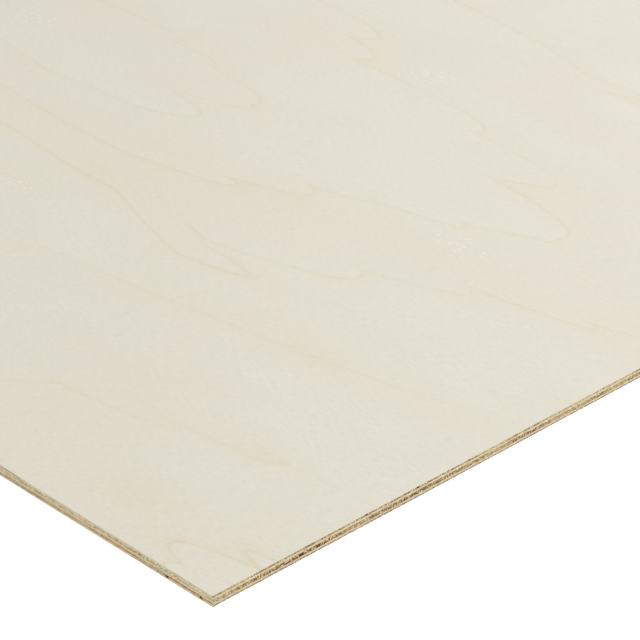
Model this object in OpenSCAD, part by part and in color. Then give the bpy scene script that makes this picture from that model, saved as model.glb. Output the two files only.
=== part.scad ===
// A full sheet of five-ply birch plywood, lying flat.
// X runs across the sheet, Y along it and Z up through its plies. The origin is the
// centre of the underside. The outer plies and the core have their grain along Y,
// and the two crossbands between them have theirs along X.

/* [Sheet] */
// Length of the sheet, along the grain of its faces
sheet_length = 2440; // [600:1:3660]
// Width of the sheet, across the grain of its faces
sheet_width = 1220; // [300:1:1830]

/* [Plies] */
// Thickness of the face veneer and of the back veneer
outer_ply_t = 0.9; // [0.3:0.1:3]
// Thickness of each crossband
crossband_t = 1.2; // [0.5:0.1:4]
// Thickness of the core veneer
core_t = 1.8; // [0.5:0.1:6]

/* [Open joints in the lower crossband] */
// Gap left between two strips of veneer where they meet at the left edge
joint_gap = 1; // [0.2:0.1:3]
// How far in from the left edge the gap runs before the strips close up
joint_depth = 15; // [2:1:100]
// Distance from the near end of the sheet to the first open joint
first_joint = 8; // [4:1:100]
// Width of the narrow strip of veneer between the first open joint and the second
filler_strip = 23.5; // [5:0.5:150]

/* [Hidden] */

// Height of the underside of each ply, stacked face to face from the floor up
lower_crossband_z = outer_ply_t;
core_z = lower_crossband_z + crossband_t;
upper_crossband_z = core_z + core_t;
face_z = upper_crossband_z + crossband_t;

// How far a cutter stands out of the surface that it cuts
cutter_overrun = 5;

// One ply of the whole sheet, of the given thickness, with its underside at z
module ply(thickness, z) {
    translate([-sheet_width / 2, -sheet_length / 2, z])
        cube([sheet_width, sheet_length, thickness]);
}

// Cutter for an open joint in the lower crossband, at a distance from the near end
module open_joint(from_end) {
    translate([
        -sheet_width / 2 - cutter_overrun,
        -sheet_length / 2 + from_end - joint_gap / 2,
        lower_crossband_z - cutter_overrun
    ])
        cube([joint_depth + cutter_overrun, joint_gap, crossband_t + 2 * cutter_overrun]);
}

module back_veneer() {
    color([0.86, 0.84, 0.76])
        ply(outer_ply_t, 0);
}

module lower_crossband() {
    color([0.79, 0.70, 0.56])
        difference() {
            ply(crossband_t, lower_crossband_z);
            open_joint(first_joint);
            open_joint(first_joint + filler_strip);
        }
}

module core_veneer() {
    color([0.71, 0.63, 0.50])
        ply(core_t, core_z);
}

module upper_crossband() {
    color([0.82, 0.77, 0.65])
        ply(crossband_t, upper_crossband_z);
}

module face_veneer() {
    color([0.88, 0.87, 0.81])
        ply(outer_ply_t, face_z);
}

back_veneer();
lower_crossband();
core_veneer();
upper_crossband();
face_veneer();
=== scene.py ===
import math

import bpy
import numpy as np
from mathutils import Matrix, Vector


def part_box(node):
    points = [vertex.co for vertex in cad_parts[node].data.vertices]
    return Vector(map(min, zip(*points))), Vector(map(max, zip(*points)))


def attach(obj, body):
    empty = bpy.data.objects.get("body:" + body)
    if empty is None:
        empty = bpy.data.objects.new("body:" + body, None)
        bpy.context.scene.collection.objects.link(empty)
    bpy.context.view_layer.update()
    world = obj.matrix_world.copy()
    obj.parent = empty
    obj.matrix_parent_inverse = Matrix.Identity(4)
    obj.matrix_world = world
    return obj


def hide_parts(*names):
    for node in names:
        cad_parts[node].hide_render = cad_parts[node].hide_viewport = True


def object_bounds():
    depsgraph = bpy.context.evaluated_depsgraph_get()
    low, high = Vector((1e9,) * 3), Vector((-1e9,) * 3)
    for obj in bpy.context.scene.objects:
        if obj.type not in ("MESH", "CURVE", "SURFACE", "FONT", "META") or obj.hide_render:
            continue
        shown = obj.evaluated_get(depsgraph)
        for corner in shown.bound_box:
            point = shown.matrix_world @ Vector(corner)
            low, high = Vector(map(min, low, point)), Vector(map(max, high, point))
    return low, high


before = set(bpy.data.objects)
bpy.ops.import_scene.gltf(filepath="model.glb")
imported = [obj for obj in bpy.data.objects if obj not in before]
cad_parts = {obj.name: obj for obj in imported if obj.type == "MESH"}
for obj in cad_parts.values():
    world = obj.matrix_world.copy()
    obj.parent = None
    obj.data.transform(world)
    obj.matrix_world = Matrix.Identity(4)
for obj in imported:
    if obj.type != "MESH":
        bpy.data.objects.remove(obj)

cad_low, cad_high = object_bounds()


# ---------------------------------------------------------------------------
# Camera. It stands off the sheet's near left corner, above the floor, and looks
# down across the sheet with a long lens, so that the corner lies low in the view.
# ---------------------------------------------------------------------------
near_corner = Vector((cad_low.x, cad_low.y, cad_high.z))
camera_data = bpy.data.cameras.new("camera")
camera_data.sensor_width = 36.0
camera_data.lens = 118.0
camera_data.clip_start = 0.05
camera_data.clip_end = 200.0
camera = bpy.data.objects.new("camera", camera_data)
camera.location = near_corner + Vector((-0.5192, -0.6026, 0.5459))
camera.rotation_euler = (math.radians(90 - 27.002), 0.0, -math.radians(44.28))
bpy.context.scene.collection.objects.link(camera)
bpy.context.scene.camera = camera


# ---------------------------------------------------------------------------
# Studio. A white light table under the sheet, an even room around it, and one big
# soft light to the camera's right, so that the sheet is brighter on that side.
# ---------------------------------------------------------------------------
scene = bpy.context.scene
scene.view_settings.view_transform = "Standard"
scene.view_settings.look = "None"

room = bpy.data.worlds.new("white_room")
room.use_nodes = True
walls = room.node_tree.nodes["Background"].inputs
walls["Color"].default_value = (1.0, 0.987, 0.945, 1.0)
walls["Strength"].default_value = 0.76
scene.world = room

softbox_data = bpy.data.lights.new("softbox", "AREA")
softbox_data.shape = "RECTANGLE"
softbox_data.size = 1.8
softbox_data.size_y = 1.8
softbox_data.energy = 58.0
softbox_data.color = (0.92, 1.0, 1.18)
softbox = bpy.data.objects.new("softbox", softbox_data)
softbox.location = near_corner + Vector((2.0, -1.15, 1.9))
softbox_aim = near_corner + Vector((0.3, 0.3, 0.0)) - softbox.location
softbox.rotation_euler = softbox_aim.to_track_quat("-Z", "Y").to_euler()
softbox.visible_camera = False
scene.collection.objects.link(softbox)

floor_half = 60.0
floor_mesh = bpy.data.meshes.new("floor")
floor_mesh.from_pydata(
    [(-floor_half, -floor_half, 0), (floor_half, -floor_half, 0),
     (floor_half, floor_half, 0), (-floor_half, floor_half, 0)],
    [],
    [(0, 1, 2, 3)],
)
floor = bpy.data.objects.new("floor", floor_mesh)
scene.collection.objects.link(floor)
floor_paint = bpy.data.materials.new("floor_paint")
floor_paint.use_nodes = True
paint = floor_paint.node_tree.nodes["Principled BSDF"]
paint.inputs["Base Color"].default_value = (0.2, 0.2, 0.2, 1.0)
paint.inputs["Roughness"].default_value = 0.9
paint.inputs["Specular IOR Level"].default_value = 0.0
paint.inputs["Emission Color"].default_value = (1.0, 1.0, 1.0, 1.0)
paint.inputs["Emission Strength"].default_value = 1.08
floor_mesh.materials.append(floor_paint)


# ---------------------------------------------------------------------------
# Face veneer. One leaf of birch peeled off a turning log, glued on with its grain
# along the sheet and sanded flat. The knife cut each growth ring at a shallow angle,
# so that a ring shows as a long tongue with a faint warm shade along its outside.
# ---------------------------------------------------------------------------
mm = 0.001


def in_mm(place):
    """A point of the frame in mm from the sheet's near left lower corner."""
    return (np.array(place) - np.array(cad_low)) / mm


def graded(low, high, finest, coarsest):
    """Places from low to high, with a step that grows evenly from finest to coarsest."""
    count = round((high - low) * 2 / (finest + coarsest))
    t = np.linspace(0.0, 1.0, count + 1)
    grown = (finest * t + (coarsest - finest) * t**2 / 2) * 2 / (finest + coarsest)
    return low + (high - low) * grown


def finer(places, times):
    """The same places with each step cut into several."""
    whole = np.arange(len(places))
    return np.interp(np.linspace(0, whole[-1], whole[-1] * times + 1), whole, places)


def value_noise(seed, x, y):
    """Noise from -1 to 1: a random number at each whole x and y, eased between by 3t^2 - 2t^3. It
    repeats after as many steps as there are cells."""
    cells = 256
    table = np.random.default_rng(seed).uniform(-1.0, 1.0, (cells, cells))
    x_cell, y_cell = np.floor(x).astype(int), np.floor(y).astype(int)
    x_part, y_part = x - x_cell, y - y_cell
    x_part, y_part = (t * t * (3 - 2 * t) for t in (x_part, y_part))
    near, far = (
        table[(x_cell + i) % cells, y_cell % cells] * (1 - y_part)
        + table[(x_cell + i) % cells, (y_cell + 1) % cells] * y_part
        for i in (0, 1)
    )
    return near * (1 - x_part) + far * x_part


def outline(xs, ys):
    """The rim of a rectangle as a closed loop, anticlockwise: its x and y, and the way out of it."""
    x = np.concatenate([xs[:-1], np.full(len(ys) - 1, xs[-1]), xs[:0:-1], np.full(len(ys) - 1, xs[0])])
    y = np.concatenate([np.full(len(xs) - 1, ys[0]), ys[:-1], np.full(len(xs) - 1, ys[-1]), ys[:0:-1]])
    return x, y, 1.0 * (x == xs[-1]) - (x == xs[0]), 1.0 * (y == ys[-1]) - (y == ys[0])


def sawn(seed, xs, ys, zs, grain_axis, depth):
    """How far a saw has torn into the four walls of a ply: a row for each height, a column for each
    point of the outline. Cut fibres leave pits of a mm, fibres along the wall leave long shallow
    furrows, and both are deeper in some stretches of a wall than in others. The noise of the two far
    walls is read from another place, so that opposite walls differ."""
    x, y, out_x, out_y = outline(xs, ys)
    elsewhere = 5000
    along = np.where(out_x != 0, y, x)[None] + np.where(out_x + out_y > 0, elsewhere, 0)[None]
    z = zs[:, None]
    cut_fibres = ((out_y if grain_axis == "y" else out_x) != 0)[None]
    pits = np.clip((value_noise(seed, along / 1.1, z / 0.8) - 0.1) / 0.7, 0, 1)
    furrows = 0.5 * np.clip((value_noise(seed + 1, along / 13, z / 0.3) - 0.2) / 0.6, 0, 1)
    patches = 0.55 + 0.45 * value_noise(seed + 2, along / 40, z / 5)
    ripple = 0.06 * (1 + value_noise(seed + 3, along / 2.4, z / 30))
    return depth * np.where(cut_fibres, pits, furrows) * patches + ripple * depth


def ply_skin(xs, ys, zs, inset, times=1, grids=()):
    """The closed surface of one ply. Its walls are the rectangle's outline repeated at each height
    of zs, and pushed in by inset. A cap named in grids is a grid of every times-th place, framed by
    polygons that meet the finer outline; another cap is a fan of triangles from its middle.
    Returns the points, the depth of tearing at each, blocks of (kind, faces, corner coordinates), and
    the length round the outline. The coordinates say how far round and up a wall a corner is, or
    where on a cap."""
    x, y, out_x, out_y = outline(xs, ys)
    rows, around = len(zs), len(x)
    wall = np.stack([x - out_x * inset, y - out_y * inset, np.repeat(zs[:, None], around, 1)], -1)
    points, depths, count = [wall.reshape(-1, 3)], [inset.ravel()], rows * around
    here = np.arange(around)
    after = (here + 1) % around
    length = np.append(0, np.cumsum(np.hypot(x[after] - x, y[after] - y)))
    blocks = []
    for row in range(rows - 1):
        low, high = row * around, (row + 1) * around
        faces = np.stack([low + here, low + after, high + after, high + here], 1)
        round_it = np.stack([length[:-1], length[1:], length[1:], length[:-1]], 1)
        up_it = (zs[[row, row, row + 1, row + 1]] - zs[0]) / (zs[-1] - zs[0])
        blocks.append(("wall", faces, np.stack([round_it, np.broadcast_to(up_it, faces.shape)], -1)))

    def on_cap(cap_x, cap_y):
        """How far across and along a cap some points lie, from 0 to 1."""
        parts = [(cap_x - xs[0]) / (xs[-1] - xs[0]), (cap_y - ys[0]) / (ys[-1] - ys[0])]
        return np.stack(parts, -1).reshape(-1, 2)

    flat = [on_cap(x, y)] * rows
    for row, name in ((rows - 1, "top"), (0, "bottom")):
        base, step = row * around, 1 if name == "top" else -1
        if name in grids:
            inner_x, inner_y = xs[::times][1:-1], ys[::times][1:-1]
            across, along = len(inner_x), len(inner_y)
            index = (count + np.arange(across * along)).reshape(across, along)
            grid_x, grid_y = np.meshgrid(inner_x, inner_y, indexing="ij")
            points.append(np.stack([grid_x, grid_y, np.full_like(grid_x, zs[row])], -1).reshape(-1, 3))
            count += across * along
            quads = np.stack([index[:-1, :-1], index[1:, :-1], index[1:, 1:], index[:-1, 1:]], -1)
            caps = [quads.reshape(-1, 4)]
            ring = np.concatenate([index[:-1, 0], index[-1, :-1], index[:0:-1, -1], index[0, :0:-1]])
            turns = np.cumsum([0, across - 1, along - 1, across - 1, along - 1])
            starts = times * (1 + np.arange(len(ring)) + 2 * np.repeat(np.arange(4), np.diff(turns)))
            outer = base + (starts[:, None] + np.arange(times + 1)) % around
            caps.append(np.concatenate([outer, np.roll(ring, -1)[:, None], ring[:, None]], 1))
            corners = times * (turns[:4] + 2 * np.arange(4))
            outer = base + (corners[:, None] + np.arange(-times, times + 1)) % around
            caps.append(np.concatenate([outer, ring[turns[:4], None]], 1))
            flat.append(on_cap(grid_x, grid_y))
        else:
            points.append([[(xs[0] + xs[-1]) / 2, (ys[0] + ys[-1]) / 2, zs[row]]])
            flat.append([[0.5, 0.5]])
            caps = [np.stack([base + here, base + after, np.full(around, count)], 1)]
            count += 1
        where = np.concatenate(flat)
        kind = name + (" grid" if name in grids else " fan")
        blocks += [(kind, faces[:, ::step], where[faces[:, ::step]]) for faces in caps]
    points = np.concatenate(points)
    depths.append(np.zeros(len(points) - len(depths[0])))
    return points, np.concatenate(depths), blocks, length[-1]


def make_piece(name, skins, node_name, wall_rows):
    """A mesh object from one or more skins, which stands for a CAD node and rides with the sheet.
    Its flat map OFBake holds the grids below, the walls above them, cut into rows like lines of text,
    and the fans along the top."""
    points, faces, maps, count, walked = [], [], [], 0, 0.0
    total = sum(skin[3] for skin in skins)
    grid_high, wall_high, fan_low = 0.65, 0.97, 0.975
    has_grid = any("grid" in block[0] for skin in skins for block in skin[2])
    wall_low = 0.66 if has_grid else 0.0
    for number, (skin_points, _, blocks, around) in enumerate(skins):
        for kind, block, where in blocks:
            if kind == "wall":
                length = total / wall_rows
                row = np.floor((where[:, :1, 0] + walked) / length)
                u = 0.005 + 0.98 * ((where[..., 0] + walked) / length - row)
                v = wall_low + (wall_high - wall_low) * (row + 0.1 + 0.75 * where[..., 1]) / wall_rows
            elif "fan" in kind:
                u = 0.02 + 0.2 * number + 0.1 * ("top" in kind) + 0.06 * where[..., 0]
                v = fan_low + 0.02 * where[..., 1]
            else:
                u = 0.002 + 0.996 * where[..., 0]
                v = 0.002 + grid_high * where[..., 1]
            faces.append(block + count)
            maps.append(np.stack([u, v], -1).reshape(-1, 2))
        points.append(skin_points)
        count += len(skin_points)
        walked += around
    points = np.concatenate(points) * mm + np.array(cad_low)
    sizes = np.concatenate([np.full(len(block), block.shape[1]) for block in faces])
    corners = np.concatenate([block.ravel() for block in faces])
    mesh = bpy.data.meshes.new(name)
    mesh.vertices.add(len(points))
    mesh.vertices.foreach_set("co", points.astype(np.float32).ravel())
    mesh.loops.add(len(corners))
    mesh.loops.foreach_set("vertex_index", corners.astype(np.int32))
    mesh.polygons.add(len(sizes))
    mesh.polygons.foreach_set("loop_start", (np.cumsum(sizes) - sizes).astype(np.int32))
    mesh.update(calc_edges=True)
    flat_map = mesh.uv_layers.new(name="OFBake")
    flat_map.uv.foreach_set("vector", np.concatenate(maps).astype(np.float32).ravel())
    mesh.set_sharp_from_angle(angle=math.radians(35))
    store(mesh, "torn", np.concatenate([skin[1] for skin in skins]))
    piece = bpy.data.objects.new(name, mesh)
    bpy.context.scene.collection.objects.link(piece)
    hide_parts(node_name)
    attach(piece, "root")
    return piece


def store(mesh, name, values):
    """Keeps one number for each point of a mesh, for its material to read."""
    layer = mesh.attributes.new(name, "FLOAT", "POINT")
    layer.data.foreach_set("value", np.asarray(values, np.float32).ravel())


def places(mesh):
    """Where the points of a mesh lie across, along and up the sheet, in mm."""
    place = np.empty(len(mesh.vertices) * 3, np.float32)
    mesh.vertices.foreach_get("co", place)
    return in_mm(place.reshape(-1, 3)).T


def add_rings(mesh, rings):
    """Stores where across the sheet each point is as each ring sees it, in mm. The left side of a ring
    leans inward on the way along the sheet, by the (y, amount) steps at the end of the ring, and the
    lean fades out over the 100 mm before x = 500."""
    x, y, _ = places(mesh)
    for number, ring in enumerate(rings):
        lean = np.interp(y, *zip(*ring[3])) * np.clip((500 - x) / 100, 0, 1)
        store(mesh, f"across_{number}", x - lean)


def add_spots(mesh, name, spots):
    """Stores how strongly each point lies in one of some soft oval spots: (x, y, half width, half
    length, strength), in mm."""
    x, y, _ = places(mesh)
    amount = sum(s * np.exp(-(((x - a) / w) ** 2) - ((y - b) / h) ** 2) for a, b, w, h, s in spots)
    store(mesh, name, amount)


# A ring is its strength, less than nothing where its shade lies inside the line; the tips of its
# tongues at the near and at the far end of the sheet, each (x, y, half width); and its lean. Stains
# and flecked places are soft oval spots.
upright = [(0, 0), (1, 0)]
face_rings = [
    (
        1.3,
        [(0, -1000, 1000)],
        [(16, 47, 21), (3, 36, 20), (36, 16, 12)],
        upright,
    ),
    (
        -0.65,
        [(130, 185, 110), (88, 124, 14), (102, 62, 12), (117, -60, 11),
         (300, -1000, 60), (600, -250, 100), (880, -90, 70), (990, 60, 50)],
        [(300, 2500, 90), (600, 2640, 120), (900, 2520, 90)],
        upright,
    ),
    (
        0.65,
        [(223, 21, 26), (249, 4, 22), (290, -60, 40), (430, -260, 90), (600, -200, 70),
         (760, -30, 50), (812, 150, 40)],
        [(330, 2080, 60), (480, 2210, 70), (640, 2120, 60)],
        [(360, 0), (440, 60), (900, 75)],
    ),
    (
        1.0,
        [(239, 237, 14), (284, 188, 29), (316, 128, 27), (333, 47, 12), (352, 10, 24),
         (450, -260, 50), (520, -60, 40), (592, 110, 31.5), (641, 250, 12), (622, 292, 60)],
        [(380, 1730, 45), (480, 1850, 55), (580, 1770, 45)],
        [(290, 0), (347, 23), (391, 43), (450, 50), (511, 56), (900, 85)],
    ),
    (
        1.0,
        [(325, 342, 16), (351, 296, 26), (370, 262, 14), (383.5, 193, 13), (409, 137, 20), (417, 139, 38),
         (475, 196, 31), (512, 293, 30), (562, 450, 33), (598, 480, 32)],
        [(400, 1410, 40), (465, 1530, 45), (540, 1440, 38)],
        [(440, 0), (523, 13), (582, 25), (625, 33), (900, 60)],
    ),
    (
        0.9,
        [(392, 453, 28), (429, 437, 20), (438, 441, 29), (467, 522, 14), (484, 584, 16)],
        [(430, 1180, 30), (465, 1240, 34)],
        [(500, -3), (549, 7), (599, 13), (651, 19), (679, 25), (900, 45)],
    ),
]
face_stains = [
    (50, 190, 20, 40, 0.7), (34, 88, 16, 32, 0.8), (30, 18, 9, 16, 0.7), (101, 84, 12, 26, 0.8),
    (199, 150, 16, 110, 0.8), (165, 367, 8, 14, 1.0), (238, 460, 15, 45, 0.9), (211, 72, 8, 14, 0.8),
    (186, 262, 14, 40, 0.5), (278, 420, 18, 60, 0.5), (340, 260, 26, 60, 0.3), (560, 420, 20, 60, 0.3),
]
face_flecks = [
    (566, 394, 20, 26, 1.0), (361, 178, 11, 30, 1.0), (546, 222, 14, 12, 0.9), (438, 703, 20, 30, 0.9),
    (226, 444, 10, 24, 0.8), (218, 131, 7, 12, 0.6), (207, 54, 7, 10, 0.6), (364, 142, 8, 10, 0.7),
    (700, 900, 20, 40, 1.0), (300, 1500, 20, 40, 1.0), (900, 1300, 20, 60, 1.0), (820, 2100, 25, 50, 1.0),
]
face_low, face_high = (in_mm(corner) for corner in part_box("face_veneer"))
face_xs = finer(graded(face_low[0], face_high[0], 2.4, 6.4), 4)
face_ys = finer(graded(face_low[1], face_high[1], 4.4, 14.0), 4)
arris = 0.15
face_zs = np.array([face_low[2], face_low[2] + 0.25, face_high[2] - 0.4, face_high[2] - arris, face_high[2]])
face_inset = sawn(100, face_xs, face_ys, face_zs, "y", 0.3)
face_inset[-1] += arris
# The saw has opened two pinholes in the near edge, between the ply's foot and its arris. Being deep, they
# are painted near black in the material as shade.
for pinhole, deep in ((100.5, 1.2), (137.0, 2.0)):
    face_inset[1:4, np.abs(face_xs - pinhole).argmin()] = deep
face_piece = make_piece(
    "face_veneer_sheet",
    [ply_skin(face_xs, face_ys, face_zs, face_inset, times=4, grids=("top",))],
    "face_veneer",
    wall_rows=40,
)
add_rings(face_piece.data, face_rings)
add_spots(face_piece.data, "stain", face_stains)
add_spots(face_piece.data, "flecked", face_flecks)


def put(tree, kind, inputs=None, **settings):
    """Adds a node and fills its inputs by name or number: a socket is linked, a value is set."""
    made = tree.nodes.new(kind)
    for name, value in settings.items():
        setattr(made, name, value)
    for name, value in (inputs or {}).items():
        if isinstance(value, bpy.types.NodeSocket):
            tree.links.new(value, made.inputs[name])
        else:
            made.inputs[name].default_value = value
    return made


def calc(tree, operation, *values):
    """The result of a Math node, whose inputs are sockets or numbers."""
    return put(tree, "ShaderNodeMath", dict(enumerate(values)), operation=operation).outputs[0]


def start_group(name, inputs, outputs):
    """A shader node group: its tree, its inputs, and a function that links its outputs."""
    tree = bpy.data.node_groups.new(name, "ShaderNodeTree")
    for label, kind in inputs:
        tree.interface.new_socket(name=label, in_out="INPUT", socket_type="NodeSocket" + kind)
    for label in outputs:
        tree.interface.new_socket(name=label, in_out="OUTPUT", socket_type="NodeSocketFloat")
    source = tree.nodes.new("NodeGroupInput").outputs
    sink = tree.nodes.new("NodeGroupOutput").inputs
    return tree, source, lambda label, socket: tree.links.new(socket, sink[label])


def noise(tree, place, size, detail=2.0, offset=(0, 0, 0)):
    """A noise from 0 to 1, whose features have this size in each direction, in mm. An offset, in
    features, gives another one like it."""
    inputs = {"Vector": place, "Scale": tuple(1 / part for part in size), "Location": offset}
    sized = put(tree, "ShaderNodeMapping", inputs).outputs[0]
    inputs = {"Vector": sized, "Scale": 1.0, "Detail": detail, "Roughness": 0.55}
    return put(tree, "ShaderNodeTexNoise", inputs).outputs["Fac"]


def ramp(tree, value, start, end, low=0.0, high=1.0):
    """low up to start, high from end on, and smooth between."""
    inputs = {"Value": value, "From Min": start, "From Max": end, "To Min": low, "To Max": high}
    return put(tree, "ShaderNodeMapRange", inputs, interpolation_type="SMOOTHSTEP").outputs[0]


def mix(tree, factor, first, second):
    """The second colour over the first, as far as the factor says."""
    inputs = {0: factor, 6: first, 7: second}
    return put(tree, "ShaderNodeMix", inputs, data_type="RGBA").outputs[2]


def tint(tree, factor, colour, filter_colour):
    """A colour seen through a filter, as far as the factor says."""
    inputs = {0: factor, 6: colour, 7: filter_colour}
    return put(tree, "ShaderNodeMix", inputs, data_type="RGBA", blend_type="MULTIPLY").outputs[2]


def vector(tree, operation, *values):
    """The result of a Vector Math node. A socket that gives one number counts for all three parts."""
    return put(tree, "ShaderNodeVectorMath", dict(enumerate(values)), operation=operation).outputs[0]


def tongues(tree, across, along, tips):
    """How far inside any of some tongues a place is, in mm: straight from the line, and at a slant that
    follows the grain. A tongue is a parabola that turns at its tip, and 100 mm further on is at its
    half width. Where two of them cross, the line has a notch. Three are worked out at a time."""
    run = 100.0
    nearest = []
    tips = tips + tips[-1:] * (-len(tips) % 3)
    for three in zip(tips[::3], tips[1::3], tips[2::3]):
        x, y, half = (np.array(part, float) for part in zip(*three))
        off = vector(tree, "MULTIPLY_ADD", across, tuple(1 / half), tuple(-x / half))
        square = vector(tree, "MULTIPLY", off, off)
        ahead = vector(tree, "SUBTRACT", along, tuple(y))
        ahead = vector(tree, "MULTIPLY_ADD", square, (-run,) * 3, ahead)
        size = vector(tree, "ABSOLUTE", off)
        for share in (1.0, 0.35):
            steep = vector(tree, "MULTIPLY_ADD", size, tuple(share * 2 * run / half), (1.0,) * 3)
            nearest.append(vector(tree, "DIVIDE", ahead, steep))
    found = []
    for sort in (nearest[::2], nearest[1::2]):
        best = sort[0]
        for other in sort[1:]:
            best = vector(tree, "MAXIMUM", best, other)
        parts = put(tree, "ShaderNodeSeparateXYZ", {0: best}).outputs
        found.append(calc(tree, "MAXIMUM", calc(tree, "MAXIMUM", parts[0], parts[1]), parts[2]))
    return found


def ring_group(name, rings):
    """A group for a veneer's growth rings, which gives two masks: the lines, and a shade on one side of
    each. All fall off as e to the power -d, where d counts mm from the line times 1.5 for the line
    itself, times 1.8 on the shade's clear side, and over 11 mm on its own side. Both masks are
    stronger in some places than in others."""
    shade_reach, clear_decay, line_decay = 11.0, 1.8, 1.5
    inputs = [("Place", "Vector")] + [(f"Across {number}", "Float") for number in range(len(rings))]
    tree, given, give = start_group(name, inputs, ["Shade", "Line"])
    along = put(tree, "ShaderNodeSeparateXYZ", {0: given["Place"]}).outputs[1]
    back = calc(tree, "MULTIPLY", along, -1.0)
    shaken = ramp(tree, noise(tree, given["Place"], (6, 18, 6), 1.5), 0.2, 0.8, -0.3, 0.3)
    shade, line = 0.0, 0.0
    for number, (strength, near_tips, far_tips, _) in enumerate(rings):
        near = tongues(tree, given[f"Across {number}"], along, near_tips)
        far_tips = [(x, -y, half) for x, y, half in far_tips]
        far = tongues(tree, given[f"Across {number}"], back, far_tips)
        straight, slanted = (calc(tree, "MINIMUM", *pair) for pair in zip(near, far))
        straight = calc(tree, "ADD", straight, shaken)
        outward = math.copysign(1.0, strength)
        fade = calc(tree, "MULTIPLY", slanted, outward / shade_reach)
        sharp = calc(tree, "MULTIPLY", straight, -clear_decay * outward)
        fade = calc(tree, "EXPONENT", calc(tree, "MINIMUM", fade, sharp))
        shade = calc(tree, "MAXIMUM", shade, calc(tree, "MULTIPLY", fade, abs(strength)))
        off_line = calc(tree, "ABSOLUTE", straight)
        thin = calc(tree, "EXPONENT", calc(tree, "MULTIPLY", off_line, -line_decay))
        line = calc(tree, "MAXIMUM", line, calc(tree, "MULTIPLY", thin, abs(strength)))
    patchy = noise(tree, given["Place"], (25, 45, 1), 2.0, (1, 6, 0))
    give("Shade", calc(tree, "MULTIPLY", shade, ramp(tree, patchy, 0.3, 0.7, 0.4, 1.0)))
    give("Line", calc(tree, "MULTIPLY", line, ramp(tree, patchy, 0.35, 0.7, 0.6, 1.0)))
    return tree


# Fibre seen on a peeled face: pores, light fibres, long streaks, clouds and whitish flecks. Here and
# below, the three parts of a place or size are across the grain, along it, and up.
fibre_tree, fibre_in, fibre_out = start_group(
    "peeled_fibre",
    [("Place", "Vector"), ("Flecked", "Float")],
    ["Pores", "Fibres", "Streaks", "Clouds", "Flecks"],
)
on_face = fibre_in["Place"]
pores = noise(fibre_tree, on_face, (0.35, 6, 1), 1.0)
fibre_out("Pores", ramp(fibre_tree, pores, 0.52, 0.8))
fibre_out("Fibres", noise(fibre_tree, on_face, (0.4, 6, 1), 2.0, (4, 8, 0)))
fibre_out("Streaks", noise(fibre_tree, on_face, (4, 150, 1), 4.0, (7, 3, 0)))
fibre_out("Clouds", noise(fibre_tree, on_face, (90, 230, 1), 4.0, (2, 9, 0)))
oval = put(fibre_tree, "ShaderNodeMapping", {"Vector": on_face, "Scale": (0.15, 0.09, 1.0)}).outputs[0]
inputs = {"Vector": oval, "Scale": 1.0, "Randomness": 1.0}
centres = put(fibre_tree, "ShaderNodeTexVoronoi", inputs, voronoi_dimensions="2D").outputs["Distance"]
dots = ramp(fibre_tree, centres, 0.2, 0.07)
fibre_out("Flecks", calc(fibre_tree, "MULTIPLY", dots, ramp(fibre_tree, fibre_in["Flecked"], 0.25, 0.8)))

# A sawn edge: dark spots, with painted shade in the torn pits and furrows, light rays and fibre bundles,
# fine grain, glue at the ply's two faces, and how badly this stretch of the edge was torn.
cut_tree, cut_in, cut_out = start_group(
    "sawn_edge",
    [("Place", "Vector"), ("End", "Float"), ("Torn", "Float"), ("Low", "Float"), ("High", "Float")],
    ["Spots and tear shade", "Lights", "Fine", "Glue", "Patches"],
)
on_edge, is_end = cut_in["Place"], cut_in["End"]


def end_or_side(end, side):
    """One pattern on end grain, and another along the fibres."""
    return put(cut_tree, "ShaderNodeMix", {0: is_end, 2: side, 3: end}).outputs[0]


spots_end = ramp(cut_tree, noise(cut_tree, on_edge, (0.8, 60, 1.5), 2.0), 0.485, 0.53)
spots_side = ramp(cut_tree, noise(cut_tree, on_edge, (1, 2, 0.5), 3.0), 0.52, 0.64)
# Painted shade: the deeper the saw has torn a pit or furrow, the darker the spot.
torn = ramp(cut_tree, cut_in["Torn"], 0.03, 0.2)
spots = calc(cut_tree, "MAXIMUM", end_or_side(spots_end, spots_side), torn)
cut_out("Spots and tear shade", spots)
lights_end = ramp(cut_tree, noise(cut_tree, on_edge, (0.75, 60, 1.3), 2.0, (5, 0, 3)), 0.53, 0.58)
lights_side = ramp(cut_tree, noise(cut_tree, on_edge, (1, 4, 0.35), 2.0, (5, 0, 3)), 0.5, 0.66)
cut_out("Lights", end_or_side(lights_end, lights_side))
fine_end = noise(cut_tree, on_edge, (0.25, 60, 0.25), 2.0)
fine_side = noise(cut_tree, on_edge, (0.3, 1.8, 0.15), 2.0)
cut_out("Fine", end_or_side(fine_end, fine_side))
height = put(cut_tree, "ShaderNodeSeparateXYZ", {0: on_edge}).outputs[2]
from_low = calc(cut_tree, "SUBTRACT", height, cut_in["Low"])
from_high = calc(cut_tree, "SUBTRACT", cut_in["High"], height)
squeezed = ramp(cut_tree, noise(cut_tree, on_edge, (9, 9, 40), 3.0), 0.4, 0.6)
reach = calc(cut_tree, "ADD", 0.12, calc(cut_tree, "MULTIPLY", squeezed, 0.25))
from_glue = calc(cut_tree, "DIVIDE", calc(cut_tree, "MINIMUM", from_low, from_high), reach)
cut_out("Glue", ramp(cut_tree, from_glue, 1.0, 0.2))
cut_out("Patches", ramp(cut_tree, noise(cut_tree, on_edge, (38, 38, 30), 2.0), 0.32, 0.56))


def stored(tree, name):
    """A number kept for each point of the mesh."""
    return put(tree, "ShaderNodeAttribute", attribute_name=name).outputs["Fac"]


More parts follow.
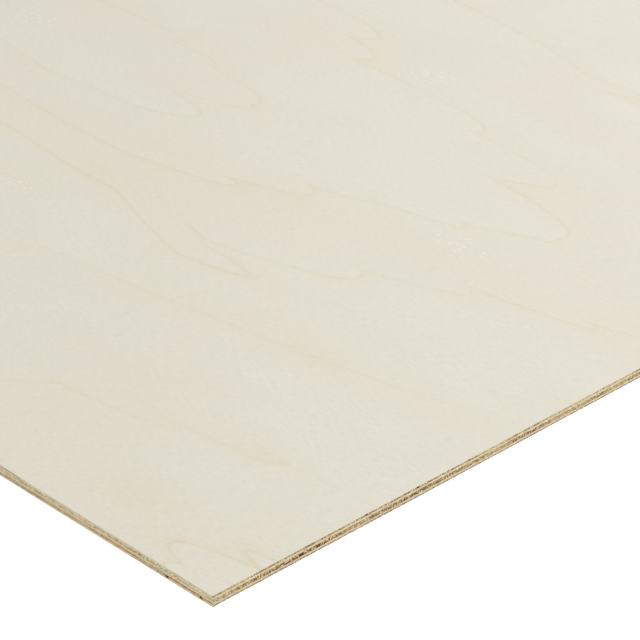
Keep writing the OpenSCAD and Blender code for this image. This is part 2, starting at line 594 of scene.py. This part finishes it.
def wood_material(name, grain_axis, ply, furrows, long_tone, end_tone, spot_and_tear_shade_tone, light_tone, glue_tone):
    """A material for one ply, as seen on its sawn edges. Tones are what each kind of wood gives back
    of red, green and blue, ply is the two heights it lies between, and furrows says how dark the
    spots are on the walls along the fibres. The spots hold painted shade too, darker where the saw
    has torn deeper; holes are painted near black and faces that look up or down a dark glue brown,
    both as painted shade. Returns what a section may want to build on: the material, its
    tree, the shader's inputs, and some sockets."""
    shadow_filter = (0.78, 0.73, 0.66, 1)
    # Painted shade: the hole tone is near black for deep holes, the ledge tone a dark glue brown for faces
    # inside holes and gaps.
    hole_shade_tone, ledge_shade_tone = (0.015, 0.01, 0.008, 1), (0.1, 0.03, 0.012, 1)
    material = bpy.data.materials.new(name)
    material.use_nodes = True
    tree = material.node_tree
    shader = tree.nodes["Principled BSDF"].inputs
    shader["Roughness"].default_value = 0.7
    shader["Specular IOR Level"].default_value = 0.15
    around = put(tree, "ShaderNodeTexCoord").outputs
    inputs = {"Vector": around["Object"], "Scale": (1 / mm,) * 3, "Location": tuple(np.array(cad_low) / -mm)}
    place = put(tree, "ShaderNodeMapping", inputs).outputs[0]
    normal = put(tree, "ShaderNodeSeparateXYZ", {0: around["Normal"]}).outputs
    if grain_axis == "x":
        parts = put(tree, "ShaderNodeSeparateXYZ", {0: place}).outputs
        place = put(tree, "ShaderNodeCombineXYZ", {0: parts[1], 1: parts[0], 2: parts[2]}).outputs[0]
    facing = calc(tree, "ABSOLUTE", normal["X" if grain_axis == "x" else "Y"])
    is_end = calc(tree, "GREATER_THAN", facing, 0.55)
    cut = put(tree, "ShaderNodeGroup", node_tree=cut_tree)
    for label, socket in {"Place": place, "End": is_end, "Torn": stored(tree, "torn")}.items():
        tree.links.new(socket, cut.inputs[label])
    cut.inputs["Low"].default_value, cut.inputs["High"].default_value = ply
    colour = mix(tree, is_end, (*long_tone, 1), (*end_tone, 1))
    colour = tint(tree, ramp(tree, cut.outputs["Fine"], 0.62, 0.3, 0.0, 0.8), colour, shadow_filter)
    colour = mix(tree, calc(tree, "MULTIPLY", cut.outputs["Lights"], 0.75), colour, (*light_tone, 1))
    amount = calc(tree, "MULTIPLY", cut.outputs["Spots and tear shade"], ramp(tree, cut.outputs["Patches"], 0, 1, 0.4, 1.0))
    amount = calc(tree, "MULTIPLY", amount, calc(tree, "MULTIPLY_ADD", is_end, 1 - furrows, furrows))
    colour = mix(tree, amount, colour, (*spot_and_tear_shade_tone, 1))
    stuck = calc(tree, "MULTIPLY", cut.outputs["Glue"], calc(tree, "MULTIPLY_ADD", is_end, 0.4, 0.25))
    colour = mix(tree, stuck, colour, (*glue_tone, 1))
    # Painted shade: where the saw has torn deepest, in holes and open joints, the colour goes near black.
    hole_shade = ramp(tree, stored(tree, "torn"), 0.42, 0.52)
    colour = mix(tree, hole_shade, colour, hole_shade_tone)
    # Painted shade: faces that look up or down, seen inside holes and open joints, are coloured a dark glue
    # brown.
    shaded_ledge = calc(tree, "GREATER_THAN", calc(tree, "ABSOLUTE", normal["Z"]), 0.8)
    colour = mix(tree, shaded_ledge, colour, ledge_shade_tone)
    tree.links.new(colour, shader["Base Color"])
    relief = calc(tree, "SUBTRACT", cut.outputs["Fine"], cut.outputs["Spots and tear shade"])
    bump = put(tree, "ShaderNodeBump", {"Height": relief, "Strength": 0.6, "Distance": 0.12 * mm})
    tree.links.new(bump.outputs[0], shader["Normal"])
    return {
        "material": material, "tree": tree, "shader": shader, "place": place, "colour": colour,
        "relief": relief, "bump": bump,
    }


def face_figure(made, up, level, rings, warm, pale):
    """Puts the sanded face on the side of a ply that looks up or down, as up is 1 or -1, and lies at
    this level in mm: a pale and a warm tone in clouds and streaks, stains, ring lines, pores and
    flecks. What it tints is seen through a filter, and flecks are laid over it."""
    stain_filter, shade_filter = (0.98, 0.963, 0.91, 1), (0.987, 0.967, 0.925, 1)
    line_filter, fibre_filter = (0.973, 0.94, 0.866, 1), (0.925, 0.92, 0.9, 1)
    pore_filter, fleck_tone = (0.94, 0.92, 0.88, 1), (0.84, 0.77, 0.7, 1)
    tree, shader, place = made["tree"], made["shader"], made["place"]
    shader["Specular IOR Level"].default_value = 0.4
    height = put(tree, "ShaderNodeSeparateXYZ", {0: place}).outputs[2]
    is_face = calc(tree, "GREATER_THAN", calc(tree, "MULTIPLY", height, up), up * level - 0.01)
    fibre = put(tree, "ShaderNodeGroup", node_tree=fibre_tree)
    tree.links.new(place, fibre.inputs["Place"])
    tree.links.new(stored(tree, "flecked"), fibre.inputs["Flecked"])
    fibre = fibre.outputs
    figure = put(tree, "ShaderNodeGroup", node_tree=ring_group(made["material"].name + "_rings", rings))
    tree.links.new(place, figure.inputs["Place"])
    for number in range(len(rings)):
        tree.links.new(stored(tree, f"across_{number}"), figure.inputs[f"Across {number}"])
    figure = figure.outputs
    clouds = ramp(tree, fibre["Clouds"], 0.36, 0.64, 0.0, 0.75)
    streaks = ramp(tree, fibre["Streaks"], 0.3, 0.7, 0.0, 0.2)
    colour = mix(tree, calc(tree, "ADD", clouds, streaks), (*warm, 1), (*pale, 1))
    uneven = ramp(tree, fibre["Streaks"], 0.3, 0.6, 0.5, 1.1)
    stain = calc(tree, "MULTIPLY", stored(tree, "stain"), uneven)
    colour = tint(tree, calc(tree, "MULTIPLY", stain, 0.7), colour, stain_filter)
    colour = tint(tree, figure["Shade"], colour, shade_filter)
    colour = tint(tree, figure["Line"], colour, line_filter)
    colour = tint(tree, ramp(tree, fibre["Fibres"], 0.3, 0.7), colour, fibre_filter)
    colour = tint(tree, fibre["Pores"], colour, pore_filter)
    colour = mix(tree, calc(tree, "MULTIPLY", fibre["Flecks"], 0.45), colour, fleck_tone)
    colour = mix(tree, is_face, made["colour"], colour)
    tree.links.new(colour, shader["Base Color"])
    relief = calc(tree, "MULTIPLY", calc(tree, "SUBTRACT", fibre["Fibres"], fibre["Pores"]), 0.3)
    relief = put(tree, "ShaderNodeMix", {0: is_face, 2: made["relief"], 3: relief}).outputs[0]
    tree.links.new(relief, made["bump"].inputs["Height"])
    rough = calc(tree, "SUBTRACT", 0.7, calc(tree, "MULTIPLY", is_face, 0.15))
    tree.links.new(rough, shader["Roughness"])


face_made = wood_material(
    "face_veneer_birch", "y", (face_low[2], face_high[2]), 0.4,
    long_tone=(0.64, 0.62, 0.44), end_tone=(0.54, 0.41, 0.205), spot_and_tear_shade_tone=(0.2, 0.085, 0.02),
    light_tone=(0.7, 0.65, 0.46), glue_tone=(0.42, 0.28, 0.12),
)
face_figure(face_made, 1, face_high[2], face_rings, warm=(0.698, 0.649, 0.53), pale=(0.709, 0.673, 0.566))
face_piece.data.materials.append(face_made["material"])


# ---------------------------------------------------------------------------
# Upper crossband. The second leaf of birch, with its grain across the sheet, glued
# under the face. Its long fibres show on the short edges and cut fibres on the long.
# ---------------------------------------------------------------------------
inner_ys = finer(graded(face_low[1], face_high[1], 4.4, 14.0), 5)
cross_low, cross_high = (in_mm(corner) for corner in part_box("upper_crossband"))
cross_zs = np.linspace(cross_low[2], cross_high[2], 6)
cross_skin = ply_skin(face_xs, inner_ys, cross_zs, sawn(200, face_xs, inner_ys, cross_zs, "x", 0.28))
cross_piece = make_piece(
    "upper_crossband_sheet", [cross_skin], "upper_crossband", wall_rows=60
)
cross_made = wood_material(
    "upper_crossband_birch", "x", (cross_low[2], cross_high[2]), 0.65,
    long_tone=(0.56, 0.52, 0.345), end_tone=(0.74, 0.72, 0.48), spot_and_tear_shade_tone=(0.38, 0.21, 0.07),
    light_tone=(0.8, 0.79, 0.6), glue_tone=(0.5, 0.36, 0.17),
)
cross_piece.data.materials.append(cross_made["material"])


# ---------------------------------------------------------------------------
# Core veneer. The middle leaf, the thickest, of coarser and darker birch with its
# grain along the sheet. Across the near edge the saw has torn its cut fibres.
# ---------------------------------------------------------------------------
core_low, core_high = (in_mm(corner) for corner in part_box("core_veneer"))
core_zs = np.linspace(core_low[2], core_high[2], 7)
core_skin = ply_skin(face_xs, inner_ys, core_zs, sawn(300, face_xs, inner_ys, core_zs, "y", 0.4))
core_piece = make_piece("core_veneer_sheet", [core_skin], "core_veneer", wall_rows=60)
core_made = wood_material(
    "core_birch", "y", (core_low[2], core_high[2]), 0.35,
    long_tone=(0.585, 0.56, 0.385), end_tone=(0.545, 0.4, 0.21), spot_and_tear_shade_tone=(0.12, 0.033, 0.006),
    light_tone=(0.7, 0.61, 0.37), glue_tone=(0.3, 0.17, 0.065),
)
core_piece.data.materials.append(core_made["material"])


# ---------------------------------------------------------------------------
# Lower crossband. The fourth leaf, with its grain across the sheet, laid in strips. Two
# joints near the corner have opened at the long edge, each a narrow gap that closes 15 mm
# in, its walls painted dark for glue and for the shade inside. Red-brown glue has soaked
# into the cut fibres, most in the two corner strips.
# ---------------------------------------------------------------------------
low_low, low_high = (in_mm(corner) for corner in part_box("lower_crossband"))
low_zs = np.linspace(low_low[2], low_high[2], 6)
# How much glue the left edge has taken up near the corner, as (y, amount).
soaked_near = [(32, 0.0), (46, 0.1), (52, 0.5), (57, 1.0), (90, 0.9), (93, 0.3), (98, 0.8), (108, 0.8),
               (112, 0.4), (120, 0.8), (131, 0.6), (137, 0.2), (146, 0.5), (160, 0.5)]
# Where the strips begin and end, half the width of a joint where it is closed and where it is open
# widest, and how deep it is.
joints = [low_low[1], low_low[1] + 8.5, low_low[1] + 32.0, low_high[1]]
closed, half_open, joint_deep = 0.01, 0.5, 15.0
# The joint walls are painted dark red-brown: soaked glue, darkened further as painted shade deep in the
# narrow gap.
joint_glue_and_shade_tone = (0.16, 0.045, 0.02, 1)
low_skins, soaked, in_joint = [], [], []
for number, (start, end) in enumerate(zip(joints[:-1], joints[1:])):
    strip_ys = inner_ys if number == 2 else np.linspace(start, end, round((end - start) / 0.7))
    strip_ys = np.concatenate([[start], strip_ys[strip_ys > start + 0.3]])
    inset = sawn(400 + 10 * number, face_xs, strip_ys, low_zs, "x", 0.28)
    x, y, _, out_y = outline(face_xs, strip_ys)
    is_joint = (out_y != 0) & (y > joints[0]) & (y < joints[-1])
    gap = closed + (half_open - closed) * np.clip(1 - (x - low_low[0]) / joint_deep, 0, 1)
    from_joint = np.abs(y[None] - np.array(joints[1:3])[:, None]).min(0) - half_open
    broken = 0.25 * np.exp(-(np.clip(from_joint, 0, 9) ** 2)) * (x == face_xs[0])
    inset = np.where(is_joint, gap, inset + broken)
    low_skins.append(ply_skin(face_xs, strip_ys, low_zs, inset))
    along = low_skins[-1][0][:, 1]
    in_joint.append(np.zeros_like(along))
    in_joint[-1][: inset.size] = np.tile(is_joint * (gap > closed), len(low_zs))
    patches = 0.35 + 0.65 * value_noise(77, along / 13, along * 0)
    patches = np.where(along < soaked_near[-1][0], np.interp(along, *zip(*soaked_near)), patches)
    soaked.append(np.ones_like(along) if number < 2 else np.clip(patches, 0, 1))
low_piece = make_piece(
    "lower_crossband_strips", low_skins, "lower_crossband", wall_rows=90
)
low_made = wood_material(
    "lower_crossband_birch", "x", (low_low[2], low_high[2]), 0.65,
    long_tone=(0.56, 0.49, 0.315), end_tone=(0.67, 0.58, 0.38), spot_and_tear_shade_tone=(0.28, 0.11, 0.04),
    light_tone=(0.76, 0.7, 0.5), glue_tone=(0.3, 0.14, 0.055),
)
store(low_piece.data, "soaked", np.concatenate(soaked))
store(low_piece.data, "in_joint", np.concatenate(in_joint))
tree, shader, place = low_made["tree"], low_made["shader"], low_made["place"]
height = put(tree, "ShaderNodeSeparateXYZ", {0: place}).outputs[2]
height = calc(tree, "ADD", height, ramp(tree, noise(tree, place, (3, 40, 1.5), 3.0), 0.3, 0.7, -0.2, 0.2))
inputs = {"Value": height, "From Min": float(low_low[2]), "From Max": float(low_high[2])}
layers = put(tree, "ShaderNodeValToRGB", {0: put(tree, "ShaderNodeMapRange", inputs).outputs[0]})
stops = layers.color_ramp.elements
stops[0].color = (0.78, 0.57, 0.28, 1)
stops[1].color = (0.1, 0.028, 0.012, 1)
stops[1].position = 0.9
stops.new(0.32).color = (0.76, 0.4, 0.13, 1)
stops.new(0.62).color = (0.6, 0.2, 0.055, 1)
soak = stored(tree, "soaked")
normal = put(tree, "ShaderNodeTexCoord").outputs["Normal"]
facing = calc(tree, "ABSOLUTE", put(tree, "ShaderNodeSeparateXYZ", {0: normal}).outputs[0])
soak = calc(tree, "MULTIPLY", soak, ramp(tree, facing, 0.4, 0.7, 0.0, 0.85))
colour = mix(tree, soak, low_made["colour"], layers.outputs[0])
# Partly painted shade: the walls of an open joint take the dark glue-and-shade tone.
colour = mix(tree, stored(tree, "in_joint"), colour, joint_glue_and_shade_tone)
tree.links.new(colour, shader["Base Color"])
low_piece.data.materials.append(low_made["material"])


# ---------------------------------------------------------------------------
# Back veneer. The fifth leaf, the twin of the face, with its grain along the sheet.
# Its sanded side lies down, with ring tongues of its own.
# ---------------------------------------------------------------------------
back_rings = [
    (0.8, [(300, -700, 120), (900, -500, 150)], [(500, 2700, 140), (900, 2900, 120)], upright),
    (1.0, [(420, -80, 60), (560, -160, 60), (900, -200, 90)], [(560, 2250, 80), (760, 2330, 90)], upright),
    (1.0, [(620, 320, 50), (730, 250, 45), (850, 380, 50)], [(650, 1890, 50), (780, 1960, 60)], upright),
    (0.9, [(690, 720, 36), (770, 660, 38)], [(700, 1500, 34), (780, 1560, 36)], upright),
]
back_low, back_high = (in_mm(corner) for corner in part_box("back_veneer"))
back_arris = 0.05
back_zs = np.array(
    [back_low[2], back_low[2] + back_arris, back_low[2] + 0.4, back_high[2] - 0.25, back_high[2]]
)
back_inset = sawn(500, face_xs, face_ys, back_zs, "y", 0.3)
back_inset[0] += back_arris
back_piece = make_piece(
    "back_veneer_sheet",
    [ply_skin(face_xs, face_ys, back_zs, back_inset, times=4, grids=("bottom",))],
    "back_veneer",
    wall_rows=40,
)
add_rings(back_piece.data, back_rings)
add_spots(back_piece.data, "stain", [(300, 400, 30, 160, 0.8), (820, 1200, 25, 200, 0.8)])
add_spots(back_piece.data, "flecked", [(500, 900, 25, 60, 1.0), (900, 1700, 20, 50, 1.0)])
back_made = wood_material(
    "back_veneer_birch", "y", (back_low[2], back_high[2]), 0.4,
    long_tone=(0.6, 0.56, 0.37), end_tone=(0.41, 0.29, 0.145), spot_and_tear_shade_tone=(0.18, 0.08, 0.02),
    light_tone=(0.62, 0.54, 0.35), glue_tone=(0.4, 0.25, 0.1),
)
face_figure(back_made, -1, back_low[2], back_rings, warm=(0.63, 0.585, 0.46), pale=(0.66, 0.625, 0.51))
back_piece.data.materials.append(back_made["material"])
